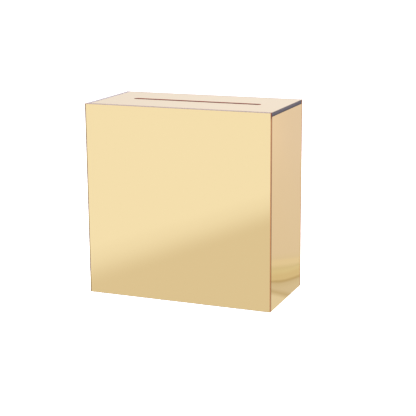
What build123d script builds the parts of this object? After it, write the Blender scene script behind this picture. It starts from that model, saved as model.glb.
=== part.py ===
"""Wedding card box: gold mirror acrylic on grey board, with a loose slotted lid that lifts off.

Frame: origin at the bottom centre, +X to the box's right, +Y to the back, +Z up, in millimetres.
The broad front face looks along -Y. One STEP file is written for each separate piece.
"""

from build123d import *
import os

# Overall size
BOX_WIDTH = 240.0
BOX_DEPTH = 120.0
BOX_HEIGHT = 240.0

# Sheet stock
FACE_SHEET = 3.0
SKIN_SHEET = 1.0
CORE_BOARD = 3.5
BASE_BOARD = 5.0
ARRIS = 0.5

# Slot in the lid
SLOT_LENGTH = 168.0
SLOT_WIDTH = 8.5

# Lid fits
LID_CLEARANCE = 0.8
LID_SHADOW_GAP = 0.5
STOP_CLEARANCE = 0.5

# Glued strips and corner posts
RAIL_SIZE = 6.0
STOP_WIDTH = 6.0
STOP_DROP = 8.0
POST_SIZE = 8.0
FILLET_STRIP = 6.0

# Places worked out from the sizes above
HALF_WIDTH = BOX_WIDTH / 2
HALF_DEPTH = BOX_DEPTH / 2
WALL = SKIN_SHEET + CORE_BOARD
INNER_X = HALF_WIDTH - WALL
INNER_Y = HALF_DEPTH - FACE_SHEET
LID_THICKNESS = SKIN_SHEET + CORE_BOARD
LID_UNDERSIDE = BOX_HEIGHT - LID_THICKNESS
RIGHT_WALL_TOP = LID_UNDERSIDE - LID_SHADOW_GAP
LID_LEFT = LID_CLEARANCE - INNER_X
LID_CENTRE_X = (LID_LEFT + HALF_WIDTH) / 2
LID_HALF_DEPTH = INNER_Y - LID_CLEARANCE
RAIL_UNDERSIDE = LID_UNDERSIDE - RAIL_SIZE
RAIL_FACE_Y = INNER_Y - RAIL_SIZE
POST_FACE_X = INNER_X - POST_SIZE
POST_FACE_Y = INNER_Y - POST_SIZE


def block(low, high):
    """A plain rectangular piece between its lowest and highest corners."""
    size = [high[i] - low[i] for i in range(3)]
    centre = [(high[i] + low[i]) / 2 for i in range(3)]
    return Pos(*centre) * Box(*size)


def eased(piece, axis, low_side):
    """Breaks the long edges round one face of a sheet by the width of the polished arris."""
    faces = piece.faces().sort_by(axis)
    face = faces[0] if low_side else faces[-1]
    return chamfer(face.edges(), ARRIS)


def face_panel(front):
    """Full-size front or back sheet, whose cut ends show at the box's upright corners."""
    outer = -HALF_DEPTH if front else HALF_DEPTH
    inner = -INNER_Y if front else INNER_Y
    low = (-HALF_WIDTH, min(outer, inner), 0)
    high = (HALF_WIDTH, max(outer, inner), BOX_HEIGHT)
    return eased(block(low, high), Axis.Y, front)


def side_skin(left):
    """Mirror skin of an end wall. It stands between the front and back sheets."""
    if left:
        piece = block((-HALF_WIDTH, -INNER_Y, 0), (-HALF_WIDTH + SKIN_SHEET, INNER_Y, BOX_HEIGHT))
    else:
        piece = block((HALF_WIDTH - SKIN_SHEET, -INNER_Y, 0), (HALF_WIDTH, INNER_Y, RIGHT_WALL_TOP))
    return piece


def side_core(left):
    """Grey board behind the mirror skin of an end wall."""
    if left:
        piece = block((-HALF_WIDTH + SKIN_SHEET, -INNER_Y, 0), (-INNER_X, INNER_Y, BOX_HEIGHT))
    else:
        piece = block((INNER_X, -INNER_Y, 0), (HALF_WIDTH - SKIN_SHEET, INNER_Y, RIGHT_WALL_TOP))
    return piece


def base_board():
    """Floor of the box, glued between all four walls and level with their lower edges."""
    return block((-INNER_X, -INNER_Y, 0), (INNER_X, INNER_Y, BASE_BOARD))


def corner_post(left, front):
    """Square glue post that ties a face sheet to an end wall, from the floor to the lid rail."""
    x_low = -INNER_X if left else POST_FACE_X
    y_low = -INNER_Y if front else POST_FACE_Y
    low = (x_low, y_low, BASE_BOARD)
    high = (x_low + POST_SIZE, y_low + POST_SIZE, RAIL_UNDERSIDE)
    return block(low, high)


def long_rail(front):
    """Rail glued inside a face sheet, on top of the posts. The lid's long edge rests on it."""
    y_low = -INNER_Y if front else RAIL_FACE_Y
    low = (-INNER_X, y_low, RAIL_UNDERSIDE)
    high = (INNER_X, y_low + RAIL_SIZE, LID_UNDERSIDE)
    return block(low, high)


def left_rail():
    """Short rail inside the left wall, between the two long rails."""
    low = (-INNER_X, -RAIL_FACE_Y, RAIL_UNDERSIDE)
    high = (-INNER_X + RAIL_SIZE, RAIL_FACE_Y, LID_UNDERSIDE)
    return block(low, high)


def long_floor_strip(front):
    """Glue strip along the foot of a face sheet, between two posts."""
    y_low = -INNER_Y if front else INNER_Y - FILLET_STRIP
    low = (-POST_FACE_X, y_low, BASE_BOARD)
    high = (POST_FACE_X, y_low + FILLET_STRIP, BASE_BOARD + FILLET_STRIP)
    return block(low, high)


def short_floor_strip(left):
    """Glue strip along the foot of an end wall, between two posts."""
    x_low = -INNER_X if left else INNER_X - FILLET_STRIP
    low = (x_low, -POST_FACE_Y, BASE_BOARD)
    high = (x_low + FILLET_STRIP, POST_FACE_Y, BASE_BOARD + FILLET_STRIP)
    return block(low, high)


def lid_blank(z_low, z_high):
    """A layer of the lid: it covers the right wall out to its outer face, and has the slot."""
    low = (LID_LEFT, -LID_HALF_DEPTH, z_low)
    high = (HALF_WIDTH, LID_HALF_DEPTH, z_high)
    slot = extrude(SlotOverall(SLOT_LENGTH, SLOT_WIDTH), z_high - z_low)
    return block(low, high) - Pos(LID_CENTRE_X, 0, z_low) * slot


def lid_skin():
    """Mirror skin on top of the lid, level with the upper edges of the walls."""
    return lid_blank(LID_UNDERSIDE + CORE_BOARD, BOX_HEIGHT)


def lid_core():
    """Grey board under the lid's mirror skin. Its end shows as a band above the right wall."""
    return lid_blank(LID_UNDERSIDE, LID_UNDERSIDE + CORE_BOARD)


def lid_stop(left):
    """Strip under the lid that drops between the posts and keeps the lid from sliding off."""
    if left:
        x_low = -INNER_X + RAIL_SIZE + STOP_CLEARANCE
    else:
        x_low = INNER_X - STOP_CLEARANCE - STOP_WIDTH
    half_length = min(RAIL_FACE_Y, POST_FACE_Y) - STOP_CLEARANCE
    low = (x_low, -half_length, LID_UNDERSIDE - STOP_DROP)
    high = (x_low + STOP_WIDTH, half_length, LID_UNDERSIDE)
    return block(low, high)


PIECES = {
    "front_panel": face_panel(front=True),
    "back_panel": face_panel(front=False),
    "left_mirror_skin": side_skin(left=True),
    "left_core_board": side_core(left=True),
    "right_mirror_skin": side_skin(left=False),
    "right_core_board": side_core(left=False),
    "base_board": base_board(),
    "front_left_post": corner_post(left=True, front=True),
    "front_right_post": corner_post(left=False, front=True),
    "back_left_post": corner_post(left=True, front=False),
    "back_right_post": corner_post(left=False, front=False),
    "front_lid_rail": long_rail(front=True),
    "back_lid_rail": long_rail(front=False),
    "left_lid_rail": left_rail(),
    "front_floor_strip": long_floor_strip(front=True),
    "back_floor_strip": long_floor_strip(front=False),
    "left_floor_strip": short_floor_strip(left=True),
    "right_floor_strip": short_floor_strip(left=False),
    "lid_mirror_skin": lid_skin(),
    "lid_core_board": lid_core(),
    "lid_left_stop": lid_stop(left=True),
    "lid_right_stop": lid_stop(left=False),
}

os.makedirs("parts", exist_ok=True)
for name, piece in PIECES.items():
    export_step(piece, f"parts/{name}.step")
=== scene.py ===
"""Looks of the gold mirror card box: mirror sheets, grey boards, clear strips, loose lid, studio."""

import logging
import math
from dataclasses import dataclass
from enum import Enum, IntEnum
from typing import Callable, Sequence

import bpy
import numpy as np
from mathutils import Matrix, Vector


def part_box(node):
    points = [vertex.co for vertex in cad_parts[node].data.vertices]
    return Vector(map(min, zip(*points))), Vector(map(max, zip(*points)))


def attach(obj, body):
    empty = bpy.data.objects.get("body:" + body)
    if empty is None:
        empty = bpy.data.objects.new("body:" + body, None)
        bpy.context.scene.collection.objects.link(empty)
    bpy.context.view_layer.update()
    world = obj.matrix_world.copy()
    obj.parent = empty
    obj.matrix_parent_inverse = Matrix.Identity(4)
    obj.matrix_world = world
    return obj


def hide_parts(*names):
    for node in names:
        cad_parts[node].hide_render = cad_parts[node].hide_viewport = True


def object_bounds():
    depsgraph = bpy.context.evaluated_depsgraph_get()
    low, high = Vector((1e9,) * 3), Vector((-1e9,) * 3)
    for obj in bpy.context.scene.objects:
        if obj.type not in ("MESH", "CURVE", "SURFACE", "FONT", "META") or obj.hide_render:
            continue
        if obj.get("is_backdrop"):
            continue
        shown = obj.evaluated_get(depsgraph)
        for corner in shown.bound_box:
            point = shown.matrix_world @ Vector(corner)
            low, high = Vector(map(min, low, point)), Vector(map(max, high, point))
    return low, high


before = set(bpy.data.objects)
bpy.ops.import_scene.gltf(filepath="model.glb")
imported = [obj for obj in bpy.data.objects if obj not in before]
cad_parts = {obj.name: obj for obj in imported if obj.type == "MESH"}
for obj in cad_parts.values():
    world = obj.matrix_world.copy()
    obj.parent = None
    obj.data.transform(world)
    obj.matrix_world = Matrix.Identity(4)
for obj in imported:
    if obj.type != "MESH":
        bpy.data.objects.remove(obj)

LOG = logging.getLogger("card_box")
MM = 0.001
SMOOTH_ANGLE = math.radians(40)
ARRIS_STEPS = 3
EDGE_BANDS = 4
SLOT_EDGE_BANDS = 3
SHEET_CELL = 4 * MM

# Where a sheet gets painted shade: width of the painted dark line along the outline and height of the
# painted shade at the top corner
RIM_WIDTH = 1.1 * MM
CORNER_SHADE_HEIGHT = 5.5 * MM

# Shares of a sheet's thickness: the low side's arris, which gets painted shade, and the rim of a slot's
# wall, which is left clear of it
SHADED_ARRIS_DEPTH = 0.2
SHALLOW_RIM = 0.05

ACRYLIC_IOR = 1.49
Colour = tuple[float, float, float]


class Zone(IntEnum):
    """Which finish a face of a sheet wears."""

    SHOW = 0
    CUT = 1
    BACK = 2


class Facing(Enum):
    """Where a sheet's show face looks, with the axes along its width, its height and outwards."""

    FRONT = ((1, 0, 0), (0, 0, 1), (0, -1, 0))
    REAR = ((-1, 0, 0), (0, 0, 1), (0, 1, 0))
    LEFT = ((0, -1, 0), (0, 0, 1), (-1, 0, 0))
    RIGHT = ((0, 1, 0), (0, 0, 1), (1, 0, 0))
    UP = ((1, 0, 0), (0, 1, 0), (0, 0, 1))
    DOWN = ((-1, 0, 0), (0, 1, 0), (0, 0, -1))

    @property
    def axes(self) -> np.ndarray:
        """The three axes as rows of a matrix."""
        return np.array(self.value, float)


# ---------------------------------------------------------------- surfaces


@dataclass
class Surface:
    """A closed surface: its points, four-sided faces, capping faces and each face's zone.

    The marks are numbers on each point, which the finishes read. depth runs through a sheet, from 0
    at the show face to 1 at the back. lit is 1 where the cut edge gets painted light, a bright copper
    that stands in for how the light falls on the upright edges. The shade mark is 1 where painted
    shade goes: a dark line along the low side of the outline and its arris, and dark brown in a
    slot's wall and at the top of the high upright edge.
    """

    points: np.ndarray
    quads: np.ndarray
    zones: np.ndarray
    marks: dict[str, np.ndarray]
    caps: Sequence[Sequence[int]] = ()

    def placed(self, centre: np.ndarray, facing: Facing) -> "Surface":
        """Turns the surface to its facing and moves it to its place.

        Args:
            centre: Middle of the show face, in metres.
            facing: Where the show face looks.

        Returns:
            The surface in the box's own frame.
        """
        self.points = self.points @ facing.axes + centre
        return self


def border(columns: int, rows: int) -> np.ndarray:
    """Point numbers round the edge of a grid, anticlockwise.

    Args:
        columns: Cells along the width.
        rows: Cells along the height.

    Returns:
        The point numbers, each once.
    """
    grid = np.arange((rows + 1) * (columns + 1)).reshape(rows + 1, columns + 1)
    return np.concatenate([grid[0, :-1], grid[:-1, -1], grid[-1, :0:-1], grid[:0:-1, 0]])


def grid_quads(columns: int, rows: int) -> np.ndarray:
    """The four-sided faces of a grid, anticlockwise.

    Args:
        columns: Cells along the width.
        rows: Cells along the height.

    Returns:
        Four point numbers for each face.
    """
    grid = np.arange((rows + 1) * (columns + 1)).reshape(rows + 1, columns + 1)
    corners = (grid[:-1, :-1], grid[:-1, 1:], grid[1:, 1:], grid[1:, :-1])
    return np.stack([c.ravel() for c in corners], 1)


def strip_quads(near: np.ndarray, far: np.ndarray) -> np.ndarray:
    """Faces between two closed rings, where far lies further back than near.

    Args:
        near: Point numbers of the first ring.
        far: Point numbers of the second, as many.

    Returns:
        Four point numbers for each face.
    """
    return np.stack([near, far, np.roll(far, -1), np.roll(near, -1)], 1)


def rounded_arris(radius: float, steps: int) -> tuple[np.ndarray, np.ndarray]:
    """Quarter round of a sheet's edge.

    The inset shrinks as one minus the sine of the turned angle, and the depth grows as one minus
    its cosine, so the profile leaves the face smoothly and ends square to it.

    Args:
        radius: Size of the round, in metres.
        steps: Points after the first, which lies on the face.

    Returns:
        Inset from the outline and depth below the face, for each point.
    """
    turn = np.linspace(0, math.pi / 2, steps + 1)[1:]
    return radius * (1 - np.sin(turn)), radius * (1 - np.cos(turn))


def edge_profile(thickness: float, arris: float, steps: int, bands: int) -> tuple[np.ndarray, np.ndarray]:
    """Section of a sheet's edge, from its show face round to its back.

    Args:
        thickness: Sheet thickness, in metres.
        arris: Radius of both eased corners.
        steps: Points in each eased corner.
        bands: Flat bands across the cut edge.

    Returns:
        Inset from the outline and depth below the show face, for each ring.
    """
    inset, depth = rounded_arris(arris, steps)
    flat = np.linspace(arris, thickness - arris, bands + 1)[1:-1]
    insets = np.concatenate([inset, np.zeros(len(flat)), inset[::-1]])
    depths = np.concatenate([depth, flat, thickness - depth[::-1]])
    return insets, depths


def grid_lines(length: float, cell: float) -> np.ndarray:
    """Places of a face's grid lines: even cells between two narrow ones along the borders.

    Args:
        length: Length of the face, in metres.
        cell: Rough size of an even cell.

    Returns:
        The places, from -1 to 1.
    """
    inner = 1 - 2 * RIM_WIDTH / length
    even = np.linspace(-inner, inner, max(2, round(length / cell)))
    return np.concatenate([[-1], even, [1]])


def sheet_surface(
    size: tuple[float, float, float],
    arris: float,
    cell: float,
    bow: Callable[[np.ndarray, np.ndarray], np.ndarray],
) -> Surface:
    """Rectangular sheet: a bowed show face and a flat back, joined by rings round the outline.

    Both faces are grids of the width parameter u and the height parameter v, from -1 to 1. A point
    lies at u and v times the half sizes less the arris, and the show face sinks by bow(u, v). Each
    ring is the same outline, scaled to its own inset and sunk to its own depth. The upright edges
    are marked lit for painted light, except for the arris on the low side of u, which gets painted
    shade like the face's border beside it. The upright edge on the high side gets painted shade at
    its upper end.

    Args:
        size: Width, height and thickness, in metres.
        arris: Radius of the eased corners.
        cell: Rough size of a face of the grid.
        bow: Depth of the show face below flat, as a function of u and v. It is 0 at the outline.

    Returns:
        The sheet, with its show face at height 0 and its middle at the origin.
    """
    width, height, thickness = size
    across = grid_lines(width - 2 * arris, cell)
    upwards = grid_lines(height - 2 * arris, cell)
    columns, rows = len(across) - 1, len(upwards) - 1
    u, v = np.meshgrid(across, upwards)
    flat = np.stack([u.ravel() * (width / 2 - arris), v.ravel() * (height / 2 - arris)], 1)
    sunk = bow(u, v).ravel()
    ring = border(columns, rows)
    outline = np.stack([u.ravel()[ring], v.ravel()[ring]], 1)
    insets, depths = edge_profile(thickness, arris, ARRIS_STEPS, EDGE_BANDS)

    show = np.column_stack([flat, -sunk])
    half = np.array([width / 2, height / 2]) - insets[:-1, None]
    edge_xy = outline[None] * half[:, None]
    edge = np.dstack([edge_xy, np.broadcast_to(-depths[:-1, None], edge_xy.shape[:2])])
    back = np.column_stack([flat, np.full(len(flat), -thickness)])

    count = len(ring)
    first_edge = len(show)
    first_back = first_edge + count * len(edge)
    rings = [ring] + [first_edge + k * count + np.arange(count) for k in range(len(edge))]
    rings.append(first_back + ring)
    strips = np.concatenate([strip_quads(a, b) for a, b in zip(rings, rings[1:])])
    face = grid_quads(columns, rows)
    quads = np.concatenate([face, strips, first_back + face[:, ::-1]])
    zones = np.repeat([Zone.SHOW, Zone.CUT, Zone.BACK], [len(face), len(strips), len(face)])
    points = np.concatenate([show, edge.reshape(-1, 3), back])
    depth = np.clip(-points[:, 2] / thickness, 0, 1)
    depth[: len(show)] = 0
    low_side = outline[:, 0] == -1
    upright = np.tile(np.abs(outline[:, 0]) == 1, len(edge))
    # Painted shade: the low side's arris near the show face is dark like the face's border beside it, and
    # gets no painted light
    dull = np.tile(low_side, len(edge)) & (depth[first_edge:first_back] < SHADED_ARRIS_DEPTH)
    lit = np.zeros(len(points))
    painted_shade = np.zeros(len(points))
    # Painted light: upright edges get bright copper, standing in for how light falls on them; the other
    # edges keep umber, painted shade
    lit[first_edge:first_back] = upright & ~dull
    # Painted shade: the upper end of the upright edge on the high side of u is dark
    corner_shade = (outline[:, 0] == 1) & (outline[:, 1] > 1 - 2 * CORNER_SHADE_HEIGHT / height)
    painted_shade[first_edge:first_back] = dull | np.tile(corner_shade, len(edge))
    # Painted shade: a dark line on the show face's border along the low side of u
    painted_shade[ring[low_side]] = 1
    return Surface(points, quads, zones, {"depth": depth, "lit": lit, "painted_shade": painted_shade})


def slotted_surface(
    size: tuple[float, float, float],
    slot: tuple[float, float],
    arris: float,
    bow: Callable[[np.ndarray, np.ndarray], np.ndarray],
) -> Surface:
    """Rectangular sheet with a round-ended slot: a closed section carried round the slot.

    The path parameter s runs once round, and the section parameter p goes from the slot's rim
    over the show face to the outline, down the cut edge, back under the sheet and up the slot's
    wall. A point is the blend, by p, of the slot's outline at s and the sheet's outline at s.

    Args:
        size: Width, height and thickness, in metres.
        slot: Length and width of the slot, in metres.
        arris: Radius of the eased corners.
        bow: Depth of the show face below flat, as a function of u and v from -1 to 1.

    Returns:
        The sheet, with its show face at height 0 and its middle at the origin.
    """
    width, height, thickness = size
    long_steps = 96
    short_steps = 40
    face_steps = 30
    straight = slot[0] / 2 - slot[1] / 2
    run = np.linspace(-1, 1, long_steps, endpoint=False)
    rise = np.linspace(-1, 1, short_steps, endpoint=False)
    one_long = np.ones(long_steps)
    one_short = np.ones(short_steps)
    outer_u = np.concatenate([run, one_short, -run, -one_short])
    outer_v = np.concatenate([-one_long, rise, one_long, -rise])
    turn = rise * math.pi / 2
    centre_x = np.concatenate([run, one_short, -run, -one_short]) * straight
    across = np.concatenate([0 * run, np.cos(turn), 0 * run, -np.cos(turn)])
    along = np.concatenate([-one_long, np.sin(turn), one_long, -np.sin(turn)])

    insets, depths = edge_profile(thickness, arris, ARRIS_STEPS, SLOT_EDGE_BANDS)
    blend = np.linspace(0, 1, face_steps + 1)
    count = len(insets)
    rho = np.concatenate([blend, np.ones(count), blend[::-1], np.zeros(count)])
    tail = np.full(face_steps + 1, arris)
    ease = np.concatenate([tail, insets, tail, insets[::-1]])
    sink = np.concatenate([0 * blend, depths, 0 * blend + thickness, depths[::-1]])
    show_only = np.concatenate([np.sin(math.pi * blend) ** 0.5, np.zeros(len(rho) - len(blend))])

    grow = slot[1] / 2 + ease[None]
    inner = np.dstack([centre_x[:, None] + across[:, None] * grow, along[:, None] * grow])
    half = np.stack([width / 2 - ease, height / 2 - ease], 1)
    outer = np.dstack([outer_u[:, None] * half[None, :, 0], outer_v[:, None] * half[None, :, 1]])
    flat = inner * (1 - rho)[None, :, None] + outer * rho[None, :, None]
    u, v = flat[..., 0] / (width / 2), flat[..., 1] / (height / 2)
    sunk = sink[None] + bow(u, v) * show_only[None]
    points = np.dstack([flat, -sunk]).reshape(-1, 3)

    number = np.arange(len(outer_u) * len(rho)).reshape(len(outer_u), len(rho))
    ahead = np.roll(number, -1, 0)
    corners = (number, np.roll(number, -1, 1), np.roll(ahead, -1, 1), ahead)
    quads = np.stack([c.ravel() for c in corners], 1)
    column = np.full(len(rho), int(Zone.CUT))
    column[:face_steps] = Zone.SHOW
    column[face_steps + 1 + count : 2 * face_steps + 1 + count] = Zone.BACK
    zones = np.tile(column, len(outer_u))
    depth = np.clip(np.tile(sink / thickness, len(outer_u)), 0, 1)
    # Painted shade: the slot's wall below its clear rim is marked for dark brown, standing in for the shade
    # in the slot
    wall = (np.tile(rho, len(outer_u)) == 0) & (depth > SHALLOW_RIM) & (depth < 1)
    marks = {"depth": depth, "lit": np.zeros(len(points)), "painted_shade": wall.astype(float)}
    return Surface(points, quads, zones, marks)


def bar_surface(size: tuple[float, float, float], radius: float) -> Surface:
    """Square bar: a rounded-square profile carried along Z, drawn in a little at both ends.

    The profile is the half sizes less the radius, plus the radius times the cosine and sine of an
    angle that turns once round. The end rings shrink by a quarter round, as an eased edge does.

    Args:
        size: Width, depth and length, in metres.
        radius: Radius of the rounded long edges.

    Returns:
        The bar, with its middle at the origin.
    """
    corner_steps = 5
    length_steps = 24
    end_radius = radius / 2
    angle = np.concatenate([np.linspace(q, q + 1, corner_steps) for q in range(4)]) * math.pi / 2
    core = np.array([size[0] / 2 - radius, size[1] / 2 - radius])
    signs = np.repeat([[1, 1], [-1, 1], [-1, -1], [1, -1]], corner_steps, 0)
    inset, depth = rounded_arris(end_radius, ARRIS_STEPS)
    ends = np.concatenate([[end_radius], inset])
    lows = np.concatenate([[0], depth])
    body = np.linspace(lows[-1], size[2] - lows[-1], length_steps + 1)[1:-1]
    heights = np.concatenate([lows, body, size[2] - lows[::-1]]) - size[2] / 2
    shrink = np.concatenate([ends, 0 * body, ends[::-1]])
    around = np.stack([np.cos(angle), np.sin(angle)], 1)
    ring = signs[None] * core + around[None] * (radius - shrink)[:, None, None]
    points = np.dstack([ring, np.broadcast_to(heights[:, None], ring.shape[:2])]).reshape(-1, 3)
    count = len(angle)
    rings = [k * count + np.arange(count) for k in range(len(heights))]
    quads = np.concatenate([strip_quads(b, a) for a, b in zip(rings, rings[1:])])
    caps = [rings[0][::-1].tolist(), rings[-1].tolist()]
    zones = np.full(len(quads) + 2, int(Zone.SHOW))
    return Surface(points, quads, zones, {}, caps)


def split_zones(mesh: bpy.types.Mesh) -> None:
    """Marks the edges between two zones sharp, so that a flat face stays flat up to its border.

    Every corner of a face passes its own zone number to its edge. An edge is marked where the
    lowest and the highest of the numbers differ.

    Args:
        mesh: Mesh whose faces have their material numbers already.
    """
    edge = np.zeros(len(mesh.loops), np.int32)
    zone = np.zeros(len(mesh.polygons), np.int32)
    corners = np.zeros(len(mesh.polygons), np.int32)
    sharp = np.zeros(len(mesh.edges), bool)
    mesh.loops.foreach_get("edge_index", edge)
    mesh.polygons.foreach_get("material_index", zone)
    mesh.polygons.foreach_get("loop_total", corners)
    mesh.edges.foreach_get("use_edge_sharp", sharp)
    zone = np.repeat(zone, corners)
    lowest = np.full(len(mesh.edges), max(Zone))
    highest = np.full(len(mesh.edges), min(Zone))
    np.minimum.at(lowest, edge, zone)
    np.maximum.at(highest, edge, zone)
    mesh.edges.foreach_set("use_edge_sharp", sharp | (lowest != highest))


def make_object(name: str, surface: Surface, materials: Sequence[bpy.types.Material]) -> bpy.types.Object:
    """Puts a surface into a mesh object at the origin.

    Args:
        name: Name of the piece.
        surface: The surface in the box's own frame.
        materials: One finish for each zone.

    Returns:
        The new object, with smooth faces split at sharp angles.
    """
    mesh = bpy.data.meshes.new(name)
    faces = surface.quads.tolist() + [list(c) for c in surface.caps]
    mesh.from_pydata(surface.points.tolist(), [], faces)
    for material in materials:
        mesh.materials.append(material)
    mesh.polygons.foreach_set("material_index", np.asarray(surface.zones, np.int32))
    mesh.polygons.foreach_set("use_smooth", np.ones(len(faces), bool))
    for label, values in surface.marks.items():
        mesh.attributes.new(label, "FLOAT", "POINT").data.foreach_set("value", values)
    mesh.validate()
    mesh.update()
    mesh.set_sharp_from_angle(angle=SMOOTH_ANGLE)
    split_zones(mesh)
    piece = bpy.data.objects.new(name, mesh)
    bpy.context.scene.collection.objects.link(piece)
    return piece


# ---------------------------------------------------------------- finishes


Value = bpy.types.NodeSocket | float | Colour


class Nodes:
    """Short way to lay out the nodes of one tree."""

    def __init__(self, tree: bpy.types.NodeTree) -> None:
        """Starts with an empty tree.

        Args:
            tree: Node tree to fill.
        """
        self.tree = tree
        self.tree.nodes.clear()

    def add(self, kind: str, **values: Value) -> bpy.types.Node:
        """Adds a node.

        Args:
            kind: Node type without its ShaderNode prefix.
            **values: Socket values or links by socket name, with _ for a space.

        Returns:
            The new node.
        """
        node = self.tree.nodes.new("ShaderNode" + kind)
        for key, value in values.items():
            self.feed(node.inputs[key.replace("_", " ")], value)
        return node

    def feed(self, socket: bpy.types.NodeSocket, value: Value) -> None:
        """Links a socket to another one, or sets its value.

        Args:
            socket: Input socket.
            value: Output socket, number or colour.
        """
        if isinstance(value, bpy.types.NodeSocket):
            self.tree.links.new(value, socket)
        elif isinstance(value, tuple) and len(value) == 3 and socket.type == "RGBA":
            socket.default_value = (*value, 1.0)
        else:
            socket.default_value = value

    def math(self, operation: str, *values: Value) -> bpy.types.NodeSocket:
        """Result of a Math node.

        Args:
            operation: The node's operation.
            *values: Its inputs, in order.

        Returns:
            The output socket.
        """
        node = self.add("Math")
        node.operation = operation
        for socket, value in zip(node.inputs, values):
            self.feed(socket, value)
        return node.outputs[0]

    def ramp(
        self,
        value: Value,
        start: float,
        end: float,
        low: float = 0.0,
        high: float = 1.0,
        smooth: bool = False,
    ) -> bpy.types.NodeSocket:
        """Maps a value from start and end to low and high, clamped, as a line or a smooth step.

        Args:
            value: Value to map.
            start: Value that gives low.
            end: Value that gives high.
            low: First result.
            high: Last result.
            smooth: Whether the steps at both ends are smooth.

        Returns:
            The output socket.
        """
        node = self.add("MapRange", Value=value, From_Min=start, From_Max=end, To_Min=low, To_Max=high)
        node.interpolation_type = "SMOOTHSTEP" if smooth else "LINEAR"
        return node.outputs["Result"]

    def mix(self, factor: Value, first: Value, second: Value) -> bpy.types.NodeSocket:
        """Blend of two colours by a factor.

        Args:
            factor: 0 for the first, 1 for the second.
            first: First colour.
            second: Second colour.

        Returns:
            The output socket.
        """
        node = self.add("Mix")
        node.data_type = "RGBA"
        for socket, value in zip((node.inputs[0], node.inputs[6], node.inputs[7]), (factor, first, second)):
            self.feed(socket, value)
        return node.outputs[2]

    def stops(self, value: Value, *stops: tuple[float, Colour]) -> bpy.types.NodeSocket:
        """Colour that runs through (place, colour) stops as the value grows.

        Args:
            value: Value to look up.
            *stops: Places and colours, in order.

        Returns:
            The output socket.
        """
        first, last = stops[0][0], stops[-1][0]
        node = self.add("ValToRGB", Fac=self.ramp(value, first, last))
        elements = node.color_ramp.elements
        while len(elements) < len(stops):
            elements.new(1.0)
        for element, (place, colour) in zip(elements, stops):
            element.position = (place - first) / (last - first)
            element.color = (*colour, 1.0)
        return node.outputs["Color"]


class Recipe(Nodes):
    """Nodes of one material."""

    def __init__(self, name: str) -> None:
        """Starts an empty material with its output.

        Args:
            name: Name of the material.
        """
        self.material = bpy.data.materials.new(name)
        self.material.use_nodes = True
        super().__init__(self.material.node_tree)
        self.output = self.add("OutputMaterial")

    def place(self, scale: tuple[float, float, float] = (1, 1, 1)) -> bpy.types.NodeSocket:
        """Object coordinates in metres, stretched by scale.

        Args:
            scale: Stretch along each axis.

        Returns:
            The output socket.
        """
        spot = self.add("TexCoord").outputs["Object"]
        return self.add("Mapping", Vector=spot, Scale=scale).outputs["Vector"]

    def noise(self, vector: Value, scale: float, detail: float = 2.0) -> bpy.types.NodeSocket:
        """Fractal noise from 0 to 1.

        Args:
            vector: Where to look it up.
            scale: Its fineness, per metre.
            detail: Number of finer layers.

        Returns:
            The output socket.
        """
        return self.add("TexNoise", Vector=vector, Scale=scale, Detail=detail).outputs["Fac"]

    def attribute(self, label: str) -> bpy.types.NodeSocket:
        """A point attribute of the surface.

        Args:
            label: Name of the attribute.

        Returns:
            The output socket.
        """
        node = self.add("Attribute")
        node.attribute_name = label
        return node.outputs["Fac"]

    def bump(self, height: Value, distance: float, strength: float = 1.0) -> bpy.types.NodeSocket:
        """Surface relief of the given height in metres.

        Args:
            height: Pattern from 0 to 1.
            distance: Height of the relief.
            strength: Share of the relief that shows.

        Returns:
            The output socket.
        """
        return self.add("Bump", Height=height, Strength=strength, Distance=distance).outputs["Normal"]

    def surface(self, **values: Value) -> bpy.types.Material:
        """Ends the material with a Principled shader.

        Args:
            **values: What goes into the shader's inputs.

        Returns:
            The material.
        """
        shader = self.add("BsdfPrincipled", **values)
        self.tree.links.new(shader.outputs[0], self.output.inputs["Surface"])
        return self.material

    def glow(self, colour: Value) -> bpy.types.Material:
        """Ends the material with plain emission.

        Args:
            colour: Colour that it gives off.

        Returns:
            The material.
        """
        shader = self.add("Emission", Color=colour)
        self.tree.links.new(shader.outputs[0], self.output.inputs["Surface"])
        return self.material


@dataclass(frozen=True)
class GoldMirror:
    """Mirror acrylic seen from its show face: gold coat under a clear, polished face."""

    tint: Colour = (0.913, 0.738, 0.418)
    deep: Colour = (0.911, 0.736, 0.416)
    edge_tint: Colour = (1.0, 1.0, 1.0)
    # Painted shade: colour of the thin dark line along the low side of the outline, and the mark's value at
    # which it is full
    painted_shade: Colour = (0.20, 0.12, 0.08)
    painted_shade_edge: float = 0.4
    drift_scale: float = 7.0
    haze_scale: float = 60.0
    smoothest: float = 0.012
    haziest: float = 0.030
    wave_scale: float = 14.0
    wave_height: float = 0.03 * MM

    def build(self) -> bpy.types.Material:
        """Makes the finish: slight drift of the coat's colour, faint haze, rolled-sheet waves and
        a thin dark line of painted shade where the shade mark is set, along the low side of the outline.

        Returns:
            The material.
        """
        r = Recipe("gold_mirror")
        drift = r.noise(r.place(), self.drift_scale, 1.0)
        haze = r.noise(r.place((1, 1, 0.35)), self.haze_scale, 4.0)
        waves = r.noise(r.place(), self.wave_scale, 0.0)
        coat = r.mix(r.ramp(drift, 0.3, 0.7), self.tint, self.deep)
        # Painted shade: the coat turns to a dark line where the shade mark is set
        painted_shade_share = r.ramp(r.attribute("painted_shade"), 0.0, self.painted_shade_edge)
        return r.surface(
            Base_Color=r.mix(painted_shade_share, coat, self.painted_shade),
            Metallic=1.0,
            Roughness=r.ramp(haze, 0.35, 0.75, self.smoothest, self.haziest),
            Normal=r.bump(waves, self.wave_height),
            Specular_Tint=self.edge_tint,
        )


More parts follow.
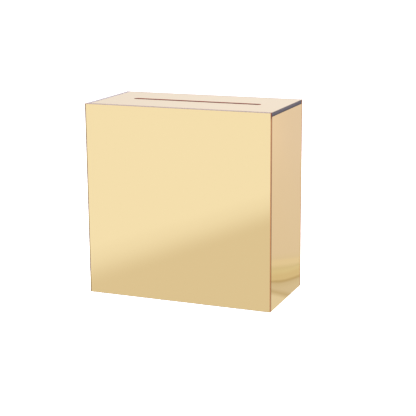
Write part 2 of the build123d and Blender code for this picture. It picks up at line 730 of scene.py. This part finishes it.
@dataclass(frozen=True)
class CutEdge:
    """Cut edge of mirror acrylic: painted light, metallic copper on the upright edges marked lit, and
    painted shade, umber on the other edges and dark brown where the shade mark is set.
    """

    # Painted light and shade: amber and copper are the bright copy of the edge, on edges marked lit; umber
    # is the dark copy on the others
    amber: Colour = (0.78, 0.345, 0.105)
    copper: Colour = (0.62, 0.255, 0.080)
    shaded_umber: Colour = (0.24, 0.175, 0.175)
    # Painted shade: dark brown where the shade mark is set, on a slot's wall, the low side's arris and the
    # top of the high upright edge
    painted_shade_brown: Colour = (0.28, 0.038, 0.004)
    paint: Colour = (0.14, 0.13, 0.15)
    paint_depth: float = 0.94
    coppery: float = 0.7
    line_stretch: float = 0.06
    line_scale: float = 2600.0
    line_height: float = 0.02 * MM
    blotch_scale: float = 45.0
    polished: float = 0.22
    sawn: float = 0.42

    def build(self, across: str) -> bpy.types.Material:
        """Makes the finish.

        Args:
            across: Axis letter of the sheet's thickness, along which the cutter's lines run.

        Returns:
            The material.
        """
        r = Recipe(f"cut_edge_{across.lower()}")
        stretch = tuple(self.line_stretch if letter == across else 1.0 for letter in "XYZ")
        lines = r.noise(r.place(stretch), self.line_scale, 2.0)
        blotch = r.noise(r.place(), self.blotch_scale, 2.0)
        depth = r.attribute("depth")
        lit = r.attribute("lit")
        deep = r.math("MULTIPLY", depth, r.ramp(blotch, 0.3, 0.7, 0.7, 1.0))
        # Painted light: copper on the edges marked lit, umber, painted shade, on the others; the lit edges
        # outside the backing paint are also made metallic
        plain = r.mix(lit, self.shaded_umber, r.mix(deep, self.amber, self.copper))
        # Painted shade: dark brown replaces the edge colour where the shade mark is set
        shade = r.mix(r.attribute("painted_shade"), plain, self.painted_shade_brown)
        painted = r.ramp(depth, self.paint_depth, self.paint_depth + 0.03)
        bare = r.math("SUBTRACT", lit, painted)
        return r.surface(
            Base_Color=r.mix(painted, shade, self.paint),
            Metallic=r.ramp(bare, 0, 1, 0.0, self.coppery),
            Roughness=r.ramp(lines, 0, 1, self.polished, self.sawn),
            IOR=ACRYLIC_IOR,
            Normal=r.bump(lines, self.line_height),
        )


@dataclass(frozen=True)
class BackingPaint:
    """Grey protective paint on the back of mirror acrylic."""

    light: Colour = (0.30, 0.295, 0.31)
    dark: Colour = (0.255, 0.25, 0.265)
    cloud_scale: float = 22.0
    peel_scale: float = 900.0
    peel_height: float = 0.04 * MM
    scuff_scale: float = 70.0
    shiny: float = 0.42
    dull: float = 0.68

    def build(self) -> bpy.types.Material:
        """Makes the finish: sprayed paint with orange peel and scuffs.

        Returns:
            The material.
        """
        r = Recipe("backing_paint")
        cloud = r.noise(r.place(), self.cloud_scale, 4.0)
        peel = r.noise(r.place(), self.peel_scale, 1.0)
        scuff = r.noise(r.place((1, 1, 9)), self.scuff_scale, 5.0)
        return r.surface(
            Base_Color=r.mix(r.ramp(cloud, 0.35, 0.65), self.light, self.dark),
            Roughness=r.ramp(scuff, 0, 1, self.shiny, self.dull),
            Normal=r.bump(peel, self.peel_height),
        )


@dataclass(frozen=True)
class FoamBoard:
    """Grey foamed board: fine skin on its faces and open cells on its cut edges."""

    light: Colour = (0.345, 0.314, 0.352)
    dark: Colour = (0.272, 0.247, 0.280)
    # Painted shade: dark brown of the board's cut edge where the shade mark is set
    painted_shade: Colour = (0.16, 0.025, 0.006)
    sheen: float = 0.06
    cloud_scale: float = 30.0
    grain_scale: float = 1500.0
    grain_height: float = 0.05 * MM
    smooth: float = 0.50
    rough: float = 0.72
    cell_scale: float = 2600.0
    cell_height: float = 0.08 * MM
    streak_scale: float = 140.0
    streak_share: float = 0.4
    cut_roughness: float = 0.85

    def face(self) -> bpy.types.Material:
        """Makes the moulded face: faint mottling and a leathery skin.

        Returns:
            The material.
        """
        r = Recipe("foam_board_face")
        cloud = r.noise(r.place(), self.cloud_scale, 5.0)
        grain = r.noise(r.place(), self.grain_scale, 2.0)
        return r.surface(
            Base_Color=r.mix(r.ramp(cloud, 0.35, 0.65), self.light, self.dark),
            Roughness=r.ramp(grain, 0, 1, self.smooth, self.rough),
            Normal=r.bump(grain, self.grain_height),
        )

    def cut(self) -> bpy.types.Material:
        """Makes the cut edge: cells, long soft streaks and painted shade, dark brown on the walls of a
        slot, on the low side's arris and at the top of the high upright edge.

        Returns:
            The material.
        """
        r = Recipe("foam_board_cut")
        cells = r.add("TexVoronoi", Vector=r.place(), Scale=self.cell_scale).outputs["Distance"]
        streak = r.noise(r.place(), self.streak_scale, 4.0)
        tone = r.mix(r.ramp(cells, 0.1, 0.7), self.dark, self.light)
        tone = r.mix(r.ramp(streak, 0, 1, 0, self.streak_share), tone, self.dark)
        return r.surface(
            # Painted shade: dark brown where the shade mark is set
            Base_Color=r.mix(r.attribute("painted_shade"), tone, self.painted_shade),
            Roughness=self.cut_roughness,
            Specular_IOR_Level=self.sheen,
            Normal=r.bump(cells, self.cell_height),
        )


@dataclass(frozen=True)
class ClearAcrylic:
    """Clear acrylic of the glued posts, rails and strips."""

    tint: Colour = (0.93, 0.96, 0.96)
    clearness: float = 0.9
    line_scale: float = 700.0
    line_height: float = 0.01 * MM
    polished: float = 0.03
    drawn: float = 0.10

    def build(self) -> bpy.types.Material:
        """Makes the finish: polished and see-through, with faint drawn lines.

        Returns:
            The material.
        """
        r = Recipe("clear_acrylic")
        lines = r.noise(r.place((1, 1, 0.03)), self.line_scale, 2.0)
        return r.surface(
            Base_Color=self.tint,
            Roughness=r.ramp(lines, 0, 1, self.polished, self.drawn),
            IOR=ACRYLIC_IOR,
            Transmission_Weight=self.clearness,
            Normal=r.bump(lines, self.line_height),
        )


@dataclass(frozen=True)
class Finishes:
    """Every finish of the box, built once."""

    mirror: bpy.types.Material
    cut: dict[str, bpy.types.Material]
    paint: bpy.types.Material
    board: bpy.types.Material
    board_cut: bpy.types.Material
    clear: bpy.types.Material

    @classmethod
    def build(cls) -> "Finishes":
        """Makes all the finishes.

        Returns:
            The set of finishes.
        """
        cut = {letter: CutEdge().build(letter) for letter in "XYZ"}
        return cls(
            mirror=GoldMirror().build(),
            cut=cut,
            paint=BackingPaint().build(),
            board=FoamBoard().face(),
            board_cut=FoamBoard().cut(),
            clear=ClearAcrylic().build(),
        )


# ---------------------------------------------------------------- shared part of every piece


class Slot(Enum):
    """Material slots of the record."""

    MIRROR = "gold_mirror"
    BOARD = "grey_board"
    CLEAR = "clear_acrylic"


def box_of(node: str) -> tuple[np.ndarray, np.ndarray]:
    """Lowest and highest corner of a CAD node, as arrays.

    Args:
        node: Name of the node.

    Returns:
        The two corners, in metres.
    """
    low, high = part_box(node)
    return np.array(low), np.array(high)


def finish_piece(piece: bpy.types.Object, node: str, body: str) -> None:
    """Lets a piece stand for a CAD node.

    Args:
        piece: The finished object.
        node: The CAD node that it replaces.
        body: The body that carries it.
    """
    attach(piece, body)
    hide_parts(node)
    LOG.info("%s: %d faces, for %s", piece.name, len(piece.data.polygons), node)


@dataclass(frozen=True)
class Bow:
    """Slow hollow and ripples of a sheet that is held along its edges."""

    hollow: float
    ripple: float = 0.0
    waves: tuple[float, float] = (1.5, 2.5)
    lean: float = 0.6

    def __call__(self, u: np.ndarray, v: np.ndarray) -> np.ndarray:
        """Depth below flat: a cosine hollow, plus ripples under a window that is 0 at the edges.

        Args:
            u: Places along the width, from -1 to 1.
            v: Places along the height, from -1 to 1.

        Returns:
            The depths, in metres.
        """
        hold = (1 - u**2) * (1 - v**2)
        hollow = self.hollow * np.cos(math.pi * u / 2) * np.cos(math.pi * v / 2)
        phase = math.pi * (self.waves[0] * u + self.waves[1] * v)
        ripple = self.ripple * hold * (1 + np.sin(phase) * np.cos(self.lean * math.pi * (u - v)))
        return hollow + ripple


def build_sheet(
    node: str, facing: Facing, arris: float, bow: Bow, materials: Sequence[bpy.types.Material]
) -> bpy.types.Object:
    """Models a plain rectangular sheet in the place of a CAD node.

    Args:
        node: CAD node that gives the place and the size.
        facing: Where the show face looks.
        arris: Radius of the eased corners.
        bow: Shape of the show face.
        materials: Finishes of the show face, the cut edge and the back.

    Returns:
        The new object.
    """
    low, high = box_of(node)
    axes = np.abs(facing.axes)
    size = tuple(axes @ (high - low))
    normal = facing.axes[2]
    centre = (low + high) / 2 + normal * size[2] / 2
    surface = sheet_surface(size, arris, SHEET_CELL, bow).placed(centre, facing)
    return make_object(node + "_sheet", surface, materials)


# ---------------------------------------------------------------- sub-assemblies


@dataclass
class FaceSheets:
    """Front and back sheets of gold mirror acrylic, which overlap the end walls."""

    finishes: Finishes
    arris: float = 0.5 * MM
    front_bow: Bow = Bow(0.20 * MM, 0.02 * MM)
    rear_bow: Bow = Bow(0.18 * MM, 0.03 * MM, (2.0, 1.5))

    def build(self) -> None:
        """Models both sheets."""
        materials = (self.finishes.mirror, self.finishes.cut["Y"], self.finishes.paint)
        for node, facing, bow in (
            ("front_panel", Facing.FRONT, self.front_bow),
            ("back_panel", Facing.REAR, self.rear_bow),
        ):
            piece = build_sheet(node, facing, self.arris, bow, materials)
            finish_piece(piece, node, "box")


@dataclass
class EndWalls:
    """Left and right walls: a thin mirror skin on grey board. The right one is lower."""

    finishes: Finishes
    skin_arris: float = 0.15 * MM
    board_arris: float = 0.20 * MM
    skin_bow: Bow = Bow(0.12 * MM, 0.06 * MM, (1.0, 3.5))
    board_bow: Bow = Bow(0.0)

    def build(self) -> None:
        """Models both skins and both boards."""
        skin = (self.finishes.mirror, self.finishes.cut["X"], self.finishes.paint)
        board = (self.finishes.board, self.finishes.board_cut, self.finishes.board)
        for side, facing in (("left", Facing.LEFT), ("right", Facing.RIGHT)):
            node = f"{side}_mirror_skin"
            piece = build_sheet(node, facing, self.skin_arris, self.skin_bow, skin)
            finish_piece(piece, node, "box")
            node = f"{side}_core_board"
            piece = build_sheet(node, facing, self.board_arris, self.board_bow, board)
            finish_piece(piece, node, "box")


@dataclass
class FloorBoard:
    """Grey board that closes the box underneath."""

    finishes: Finishes
    arris: float = 0.3 * MM

    def build(self) -> None:
        """Models the board with its show face down."""
        board = (self.finishes.board, self.finishes.board_cut, self.finishes.board)
        piece = build_sheet("base_board", Facing.DOWN, self.arris, Bow(0.0), board)
        finish_piece(piece, "base_board", "box")


@dataclass
class GluedBars:
    """Clear posts, rails and strips that hold the walls and carry the lid."""

    finishes: Finishes
    radius: float = 0.4 * MM

    def build(self, nodes: Sequence[str], body: str) -> None:
        """Models each bar along its own longest side.

        Args:
            nodes: CAD nodes of the bars.
            body: The body that carries them.
        """
        for node in nodes:
            low, high = box_of(node)
            size = high - low
            along = int(np.argmax(size))
            facing = (Facing.RIGHT, Facing.REAR, Facing.UP)[along]
            axes = np.abs(facing.axes)
            surface = bar_surface(tuple(axes @ size), self.radius)
            surface = surface.placed((low + high) / 2, facing)
            piece = make_object(node + "_bar", surface, (self.finishes.clear,))
            finish_piece(piece, node, body)


@dataclass
class Lid:
    """Loose lid: slotted mirror skin on slotted grey board, with two strips under it."""

    finishes: Finishes
    skin_arris: float = 0.15 * MM
    board_arris: float = 0.20 * MM
    skin_bow: Bow = Bow(0.10 * MM, 0.02 * MM, (2.5, 1.0))
    outline_margin: float = 0.02

    def slot_size(self, node: str) -> tuple[float, float]:
        """Length and width of the slot, from the points of a layer that lie inside its outline.

        Args:
            node: CAD node of the layer.

        Returns:
            Both sizes, in metres.
        """
        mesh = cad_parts[node].data
        points = np.zeros(len(mesh.vertices) * 3, np.float32)
        mesh.vertices.foreach_get("co", points)
        points = points.reshape(-1, 3)
        low, high = box_of(node)
        margin = (high - low) * self.outline_margin
        flat = points[:, :2]
        inside = np.all((flat > (low + margin)[:2]) & (flat < (high - margin)[:2]), 1)
        length, width = np.ptp(flat[inside], 0)
        return float(length), float(width)

    def layer(self, node: str, arris: float, bow: Bow, materials: Sequence[bpy.types.Material]) -> None:
        """Models one slotted layer in the place of its CAD node.

        Args:
            node: The CAD node.
            arris: Radius of the eased corners.
            bow: Shape of the show face.
            materials: Finishes of the show face, the cut edge and the back.
        """
        low, high = box_of(node)
        centre = (low + high) / 2
        centre[2] = high[2]
        surface = slotted_surface(tuple(high - low), self.slot_size(node), arris, bow)
        piece = make_object(node + "_layer", surface.placed(centre, Facing.UP), materials)
        finish_piece(piece, node, "lid")

    def build(self) -> None:
        """Models both layers and the strips."""
        f = self.finishes
        self.layer("lid_mirror_skin", self.skin_arris, self.skin_bow, (f.mirror, f.cut["Z"], f.paint))
        self.layer("lid_core_board", self.board_arris, Bow(0.0), (f.board, f.board_cut, f.board))
        GluedBars(f).build(("lid_left_stop", "lid_right_stop"), "lid")


# ---------------------------------------------------------------- studio


def stage_sheet(
    name: str, half_size: float, height: float, material: bpy.types.Material
) -> bpy.types.Object:
    """Makes a level square sheet that belongs to the studio.

    Args:
        name: Name of the sheet.
        half_size: Half of its side, in metres.
        height: Height above the floor's level.
        material: Its finish.

    Returns:
        The sheet, marked as stage.
    """
    corners = [(-1, -1), (1, -1), (1, 1), (-1, 1)]
    mesh = bpy.data.meshes.new(name)
    mesh.from_pydata([(a * half_size, b * half_size, height) for a, b in corners], [], [(0, 1, 2, 3)])
    mesh.materials.append(material)
    sheet = bpy.data.objects.new(name, mesh)
    bpy.context.scene.collection.objects.link(sheet)
    sheet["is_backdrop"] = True
    return sheet


@dataclass(frozen=True)
class FloorLine:
    """Straight line on the floor: the bearing of its normal from +X and its offset along it."""

    bearing: float
    offset: float

    def across(self, r: Recipe, x: Value, y: Value) -> bpy.types.NodeSocket:
        """Distance from the line, growing along its normal.

        Args:
            r: The nodes that work it out.
            x: Place along X.
            y: Place along Y.

        Returns:
            The distance in metres.
        """
        turn = math.radians(self.bearing)
        along_x = r.math("MULTIPLY_ADD", x, math.cos(turn), -self.offset)
        return r.math("MULTIPLY_ADD", y, math.sin(turn), along_x)


@dataclass
class ReflectedFloor:
    """What the mirrors see of the studio's floor: pale paper with soft shades, for gloss alone.

    All places are in metres on the floor, in the box's own frame.
    """

    half_size: float = 6.0
    lift: float = 0.3 * MM
    paper: Colour = (1.0, 1.0, 1.0)
    front_shade: Colour = (0.792, 0.741, 0.672)
    front_line: FloorLine = FloorLine(16.4, -0.206)
    front_slow: tuple[float, float] = (-0.094, -0.010)
    front_fast: tuple[float, float] = (-0.036, 0.068)
    slow_share: float = 0.25

    side_x: tuple[float, float] = (0.0, 0.115)
    side_y: float = -0.056
    side_lean: float = 3.1
    side_fade: tuple[float, float] = (-0.212, 0.078)

    side_far: Colour = (0.881, 0.770, 0.711)
    side_back: Colour = (0.831, 0.734, 0.691)
    side_paper: Colour = (0.790, 0.697, 0.605)
    side_dip: Colour = (0.778, 0.690, 0.570)
    side_light: Colour = (0.820, 0.727, 0.562)
    side_mid: Colour = (0.754, 0.680, 0.465)
    side_arc: Colour = (0.724, 0.647, 0.456)
    side_deep: Colour = (0.720, 0.620, 0.411)
    side_line: Colour = (0.560, 0.450, 0.280)
    side_crease: Colour = (0.610, 0.520, 0.370)
    side_near: Colour = (0.712, 0.636, 0.512)
    side_dusk: Colour = (0.669, 0.591, 0.449)
    side_foot: Colour = (0.809, 0.746, 0.628)

    curve_x: float = 0.155
    curve_y: float = 0.062
    curve_bend: float = 74.0
    curve_slope: float = 47.0
    wall_line: FloorLine = FloorLine(161.6, -0.114)
    wall_blur: float = 0.02
    wall_y: tuple[float, float] = (0.2, 1.1)
    foot_line: FloorLine = FloorLine(108.4, -0.0272)
    foot_blur: float = 0.014

    def build(self) -> None:
        """Makes the card, which lights, shadows and the camera pass through."""
        r = Recipe("reflected_floor")
        axes = r.add("SeparateXYZ", Vector=r.add("TexCoord").outputs["Object"])
        x = axes.outputs["X"]
        y = axes.outputs["Y"]
        share = r.math("MULTIPLY", r.ramp(x, *self.side_x), self.beside(r, x, y))
        colour = r.mix(share, self.front(r, x, y), self.side(r, x, y))
        card = stage_sheet("reflected_floor", self.half_size, self.lift, r.glow(colour))
        card.visible_camera = False
        card.visible_diffuse = False
        card.visible_transmission = False
        card.visible_shadow = False
        card.visible_volume_scatter = False

    def beside(self, r: Recipe, x: Value, y: Value) -> bpy.types.NodeSocket:
        """Share of the side's bands by depth: none before the box, fading out far behind it.

        Args:
            r: Nodes of the card.
            x: Place along X.
            y: Place along Y.

        Returns:
            The output socket.
        """
        reach = r.math("MULTIPLY_ADD", x, -self.side_lean, y)
        past_front = r.math("GREATER_THAN", y, self.side_y)
        return r.math("MULTIPLY", past_front, r.ramp(reach, *self.side_fade, 1, 0))

    def front(self, r: Recipe, x: Value, y: Value) -> bpy.types.NodeSocket:
        """Paper that falls off into shade across a slanting line, slowly and then faster.

        Args:
            r: Nodes of the card.
            x: Place along X.
            y: Place along Y.

        Returns:
            The output socket.
        """
        across = self.front_line.across(r, x, y)
        slow = r.ramp(across, *self.front_slow, 0, self.slow_share, smooth=True)
        fast = r.ramp(across, *self.front_fast, 0, 1 - self.slow_share, smooth=True)
        return r.mix(r.math("ADD", slow, fast), self.paper, self.front_shade)

    def side(self, r: Recipe, x: Value, y: Value) -> bpy.types.NodeSocket:
        """Bands to the right of the box: a curved line, a warm band behind it and pale paper.

        The place across the bands is y less a parabola of x that opens away from the box on its
        near side and a slant on its far side. It is divided by the parabola's growing slope, which
        keeps the bands equally wide.

        Args:
            r: Nodes of the card.
            x: Place along X.
            y: Place along Y.

        Returns:
            The colour of the bands.
        """
        inner = r.math("MAXIMUM", r.math("SUBTRACT", self.curve_x, x), 0.0)
        outer = r.math("MAXIMUM", r.math("SUBTRACT", x, self.curve_x), 0.0)
        bend = r.math("MULTIPLY", r.math("POWER", inner, 2.0), -self.curve_bend)
        rise = r.math("ADD", r.math("ADD", r.math("SUBTRACT", y, self.curve_y), outer), bend)
        across = r.math("DIVIDE", rise, r.math("MULTIPLY_ADD", inner, self.curve_slope, 1.0))
        bands = r.stops(
            across,
            (-0.026, self.side_near),
            (-0.010, self.side_dusk),
            (0.000, self.side_line),
            (0.010, self.side_deep),
            (0.030, self.side_deep),
            (0.055, self.side_mid),
            (0.075, self.side_arc),
            (0.100, self.side_light),
            (0.120, self.side_light),
            (0.138, self.side_dip),
            (0.170, self.side_paper),
        )
        reach = self.wall_line.across(r, x, y)
        wall = r.mix(r.ramp(reach, -self.wall_blur, self.wall_blur), self.side_far, self.side_back)
        far = r.mix(r.ramp(y, *self.wall_y), bands, wall)
        foot = self.foot_line.across(r, x, y)
        line = r.stops(
            foot,
            (-self.foot_blur, self.side_foot),
            (0.001, self.side_crease),
            (self.foot_blur, self.side_near),
        )
        return r.mix(r.math("LESS_THAN", foot, self.foot_blur), far, line)


@dataclass
class Studio:
    """Pale floor, white surroundings, cool fill light and one warm soft lamp overhead."""

    floor_half: float = 6.0
    floor_colour: Colour = (0.93, 0.93, 0.93)
    floor_roughness: float = 0.9
    floor_glow: float = 0.55
    backdrop: float = 1.12
    fill: Colour = (0.28, 0.28, 0.32)
    sky: Colour = (1.80, 1.80, 1.80)
    wall_right: Colour = (0.943, 0.903, 0.914)
    wall_left: Colour = (0.905, 0.865, 0.875)
    wall_turn: tuple[float, float] = (-0.45, -0.35)
    lamp_power: float = 45.0
    lamp_size: float = 1.6
    lamp_colour: Colour = (1.0, 0.97, 0.93)
    lamp_place: Colour = (-0.5, -0.7, 1.6)

    def build(self) -> None:
        """Makes the floor, the world and the lamp."""
        self.floor()
        self.world()
        self.lamp()
        ReflectedFloor().build()
        view = bpy.context.scene.view_settings
        view.view_transform = "Standard"
        view.look = "None"

    def floor(self) -> None:
        """Large pale sheet under the box, which mirrors and soft light don't see."""
        white = (1.0, 1.0, 1.0)
        material = Recipe("studio_floor").surface(
            Base_Color=self.floor_colour,
            Roughness=self.floor_roughness,
            Emission_Color=white,
            Emission_Strength=self.floor_glow,
        )
        sheet = stage_sheet("studio_floor", self.floor_half, 0.0, material)
        sheet.visible_glossy = False
        sheet.visible_diffuse = False

    def world(self) -> None:
        """White backdrop; matt surfaces get most light from above, mirrors see an even pale wall."""
        world = bpy.data.worlds.new("studio")
        bpy.context.scene.world = world
        world.use_nodes = True
        n = Nodes(world.node_tree)
        toward = n.add("SeparateXYZ", Vector=n.add("TexCoord").outputs["Generated"])
        overhead = n.math("POWER", n.math("MAXIMUM", toward.outputs["Z"], 0.0), 2.0)
        soft = n.mix(overhead, self.fill, self.sky)
        wall = n.mix(n.ramp(toward.outputs["X"], *self.wall_turn), self.wall_left, self.wall_right)
        path = n.add("LightPath")
        seen = n.mix(path.outputs["Is Glossy Ray"], soft, wall)
        seen = n.mix(path.outputs["Is Camera Ray"], seen, (self.backdrop,) * 3)
        light = n.add("Background", Color=seen)
        n.add("OutputWorld", Surface=light.outputs[0])

    def lamp(self) -> None:
        """Wide soft lamp above and to the left, which the mirrors don't see."""
        data = bpy.data.lights.new("soft_lamp", "AREA")
        data.shape = "DISK"
        data.size = self.lamp_size
        data.energy = self.lamp_power
        data.color = self.lamp_colour
        lamp = bpy.data.objects.new("soft_lamp", data)
        bpy.context.scene.collection.objects.link(lamp)
        place = Vector(self.lamp_place)
        turn = (-place).to_track_quat("-Z", "Y").to_matrix().to_4x4()
        lamp.matrix_world = Matrix.Translation(place) @ turn
        lamp.visible_glossy = False
        lamp.visible_camera = False


@dataclass
class ViewCamera:
    """Camera to the right of the front and a little above the box."""

    azimuth: float = 22.02
    elevation: float = 13.31
    roll: float = -0.43
    distance: float = 1.4415
    slide: tuple[float, float] = (0.0159, -0.0144)
    lens: float = 99.5625 * MM
    sensor: float = 36.0 * MM

    def build(self, centre: Vector) -> None:
        """Places the camera and makes it the scene's.

        Args:
            centre: Middle of the box.
        """
        azimuth, elevation, roll = (math.radians(a) for a in (self.azimuth, self.elevation, self.roll))
        level = math.cos(elevation)
        back = Vector((math.sin(azimuth) * level, -math.cos(azimuth) * level, math.sin(elevation)))
        right = Vector((math.cos(azimuth), math.sin(azimuth), 0))
        up = back.cross(right)
        turned = math.cos(roll) * right + math.sin(roll) * up
        upright = math.cos(roll) * up - math.sin(roll) * right
        place = centre + back * self.distance + turned * self.slide[0] + upright * self.slide[1]
        data = bpy.data.cameras.new("view_camera")
        data.sensor_width = self.sensor / MM
        data.lens = self.lens / MM
        camera = bpy.data.objects.new("view_camera", data)
        bpy.context.scene.collection.objects.link(camera)
        turn = Matrix((turned, upright, back)).transposed().to_4x4()
        camera.matrix_world = Matrix.Translation(place) @ turn
        bpy.context.scene.camera = camera


# ---------------------------------------------------------------- assembly

BOX_BARS = (
    "front_left_post",
    "front_right_post",
    "back_left_post",
    "back_right_post",
    "front_lid_rail",
    "back_lid_rail",
    "left_lid_rail",
    "front_floor_strip",
    "back_floor_strip",
    "left_floor_strip",
    "right_floor_strip",
)


def main() -> None:
    """Builds the box, the studio and the camera."""
    logging.basicConfig(level=logging.INFO, format="%(message)s")
    cad_low, cad_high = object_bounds()
    ViewCamera().build((cad_low + cad_high) / 2)
    finishes = Finishes.build()
    FaceSheets(finishes).build()
    EndWalls(finishes).build()
    FloorBoard(finishes).build()
    GluedBars(finishes).build(BOX_BARS, "box")
    Lid(finishes).build()
    Studio().build()


if __name__ == "__main__":
    main()
